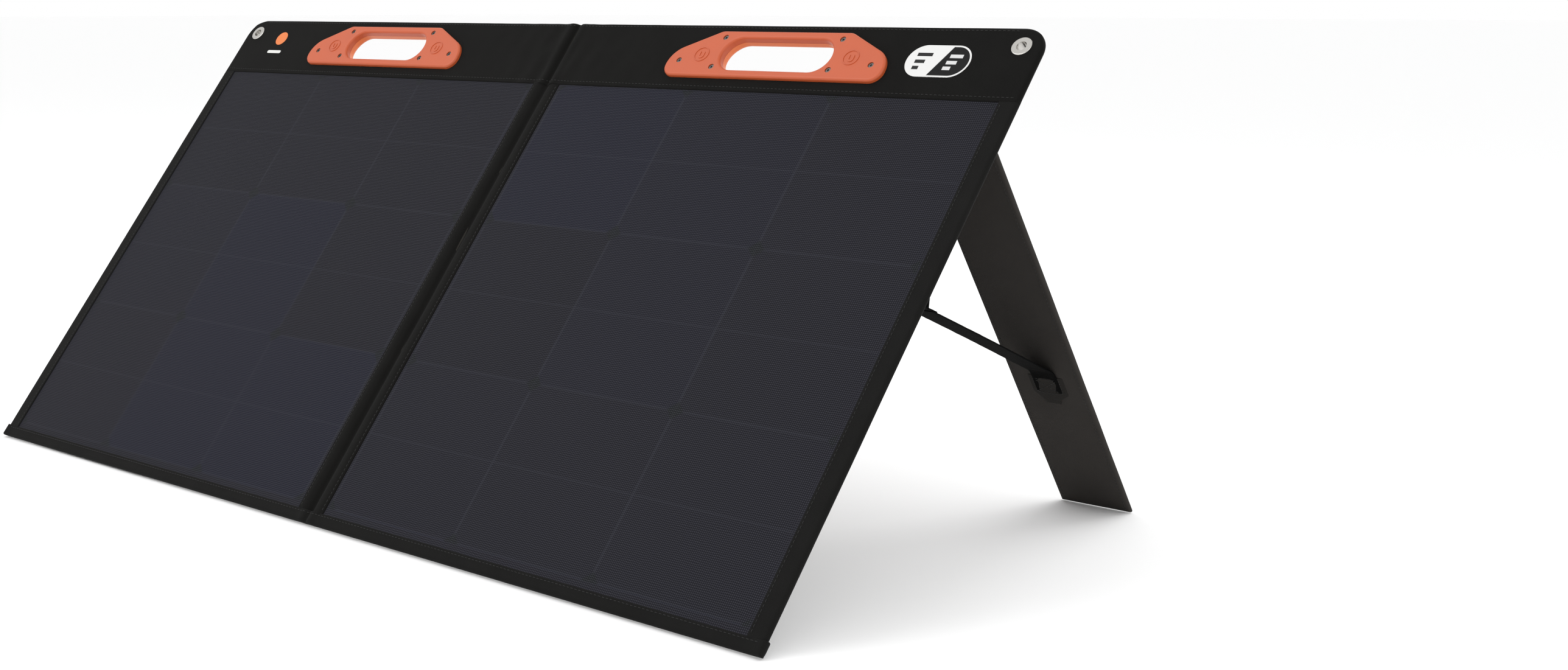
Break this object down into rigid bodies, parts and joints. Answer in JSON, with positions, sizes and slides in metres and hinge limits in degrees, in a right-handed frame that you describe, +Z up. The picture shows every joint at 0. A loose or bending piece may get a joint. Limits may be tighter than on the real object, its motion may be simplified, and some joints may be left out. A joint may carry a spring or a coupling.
{
  "type": "folding solar panel kit",
  "caption": "Folding fabric solar panel case with carry handles, corner eyelets, a rear zip pocket and hinged kickstand legs held by brace straps.",
  "frame": {"origin": "under the middle of the standing kit, on the ground", "axes": "+X along the width, +Z up, the solar face looks towards -Y and up, legs behind at +Y"},
  "size_m": [1.048, 0.6012, 0.453],
  "materials": {
    "laminate": "fine bumped matt film",
    "cell": "satin",
    "ribbon": "tinned",
    "board": "glass fibre laminate",
    "stiffener": "matt",
    "fabric": "woven polyester",
    "binding": "ribbed tape",
    "leg_fabric": "woven polyester",
    "coated": "coated, glossy",
    "handle": "satin moulded",
    "screw": "satin",
    "eyelet": "polished nickel",
    "webbing": "ribbed webbing",
    "elastic": "ribbed elastic",
    "zip": "matt",
    "slider": "satin black",
    "puller": "matt",
    "box": "fine texture",
    "circuit": "solder mask",
    "label": "printed"
  },
  "bodies": {
    "panel_left": {"front_sheet_left": "laminate", "solar_cells_left": "cell", "cell_ribbons_left": "ribbon", "backing_board_left": "board", "band_stiffener_left": "stiffener", "rear_fabric_left": "fabric", "band_cover_left": "fabric", "side_binding_left": "binding", "bottom_binding_left": "binding", "fold_strip_left": "fabric", "handle_front_left": "handle", "handle_rear_left": "handle", "handle_screws_left": "screw", "handle_magnets_left": "screw", "eyelet_left": "eyelet", "eyelet_washer_left": "eyelet", "leg_flap_left": "fabric", "pocket_gusset": "coated", "pocket_zip": "zip", "regulator_base": "box", "regulator_lid": "box", "regulator_screws": "screw", "regulator_board": "circuit", "output_sockets": "eyelet"},
    "panel_right": {"front_sheet_right": "laminate", "solar_cells_right": "cell", "cell_ribbons_right": "ribbon", "backing_board_right": "board", "band_stiffener_right": "stiffener", "rear_fabric_right": "fabric", "band_cover_right": "fabric", "side_binding_right": "binding", "bottom_binding_right": "binding", "fold_strip_right": "fabric", "handle_front_right": "handle", "handle_rear_right": "handle", "handle_screws_right": "screw", "handle_magnets_right": "screw", "eyelet_right": "eyelet", "eyelet_washer_right": "eyelet", "leg_flap_right": "fabric", "front_label": "label"},
    "pocket_flap": {"pocket_cover": "fabric", "pocket_piping": "coated", "pocket_label": "label"},
    "zip_slider": {"zip_slider": "slider"},
    "zip_puller": {"zip_puller": "puller"},
    "leg_left": {"leg_board_left": "stiffener", "leg_cover_left": "leg_fabric", "leg_patch_left": "webbing"},
    "brace_leg_left": {"brace_leg_left": "webbing"},
    "brace_panel_left": {"brace_panel_left": "webbing"},
    "brace_elastic_left": {"brace_elastic_left": "elastic"},
    "leg_right": {"leg_board_right": "stiffener", "leg_cover_right": "leg_fabric", "leg_patch_right": "webbing"},
    "brace_leg_right": {"brace_leg_right": "webbing"},
    "brace_panel_right": {"brace_panel_right": "webbing"},
    "brace_elastic_right": {"brace_elastic_right": "elastic"}
  },
  "joints": [
    {"name": "centre_fold", "type": "hinge", "parent": "panel_left", "child": "panel_right", "pos_m": [0, -0.12243, 0.23133], "axis": [0, -0.6293, -0.7771], "range_deg": [0, 180]},
    {"name": "leg_left_fold", "type": "hinge", "parent": "panel_left", "child": "leg_left", "pos_m": [-0.2, 0.00834, 0.37121], "axis": [-1, 0, 0], "range_deg": [0, 76.71], "deforming": ["brace_panel_left", "brace_leg_left", "brace_elastic_left"]},
    {"name": "brace_panel_left_fold", "type": "hinge", "parent": "panel_left", "child": "brace_panel_left", "pos_m": [-0.2, -0.09123, 0.25238], "axis": [-1, 0, 0], "range_deg": [-72.37, 0]},
    {"name": "brace_leg_left_fold", "type": "hinge", "parent": "leg_left", "child": "brace_leg_left", "pos_m": [-0.2, 0.18267, 0.14574], "axis": [-1, 0, 0], "range_deg": [0, 31.12]},
    {"name": "brace_elastic_left_fold", "type": "hinge", "parent": "panel_left", "child": "brace_elastic_left", "pos_m": [-0.2, -0.00148, 0.36114], "axis": [-1, 0, 0], "range_deg": [0, 33.59]},
    {"name": "leg_right_fold", "type": "hinge", "parent": "panel_right", "child": "leg_right", "pos_m": [0.462, 0.00834, 0.37121], "axis": [-1, 0, 0], "range_deg": [0, 76.71], "deforming": ["brace_panel_right", "brace_leg_right", "brace_elastic_right"]},
    {"name": "brace_panel_right_fold", "type": "hinge", "parent": "panel_right", "child": "brace_panel_right", "pos_m": [0.462, -0.09123, 0.25238], "axis": [-1, 0, 0], "range_deg": [-72.37, 0]},
    {"name": "brace_leg_right_fold", "type": "hinge", "parent": "leg_right", "child": "brace_leg_right", "pos_m": [0.462, 0.18267, 0.14574], "axis": [-1, 0, 0], "range_deg": [0, 31.12]},
    {"name": "brace_elastic_right_fold", "type": "hinge", "parent": "panel_right", "child": "brace_elastic_right", "pos_m": [0.462, -0.00148, 0.36114], "axis": [-1, 0, 0], "range_deg": [0, 33.59]},
    {"name": "pocket_open", "type": "hinge", "parent": "panel_left", "child": "pocket_flap", "pos_m": [-0.2464, -0.13749, 0.16117], "axis": [0, -0.6293, -0.7771], "range_deg": [0, 75]},
    {"name": "zip_travel", "type": "slide", "parent": "panel_left", "child": "zip_slider", "axis": [0, 0.6293, 0.7771], "range_m": [0, 0.285]},
    {"name": "puller_swing", "type": "hinge", "parent": "zip_slider", "child": "zip_puller", "pos_m": [-0.4453, -0.23324, 0.04698], "axis": [1, 0, 0], "range_deg": [-8, 60]}
  ],
  "couplings": [
    {"joint": "brace_panel_left_fold", "follows": "leg_left_fold", "ratio": -0.94215},
    {"joint": "brace_leg_left_fold", "follows": "leg_left_fold", "ratio": 0.4043},
    {"joint": "brace_elastic_left_fold", "follows": "leg_left_fold", "ratio": 0.43653},
    {"joint": "brace_panel_right_fold", "follows": "leg_right_fold", "ratio": -0.94215},
    {"joint": "brace_leg_right_fold", "follows": "leg_right_fold", "ratio": 0.4043},
    {"joint": "brace_elastic_right_fold", "follows": "leg_right_fold", "ratio": 0.43653}
  ]
}
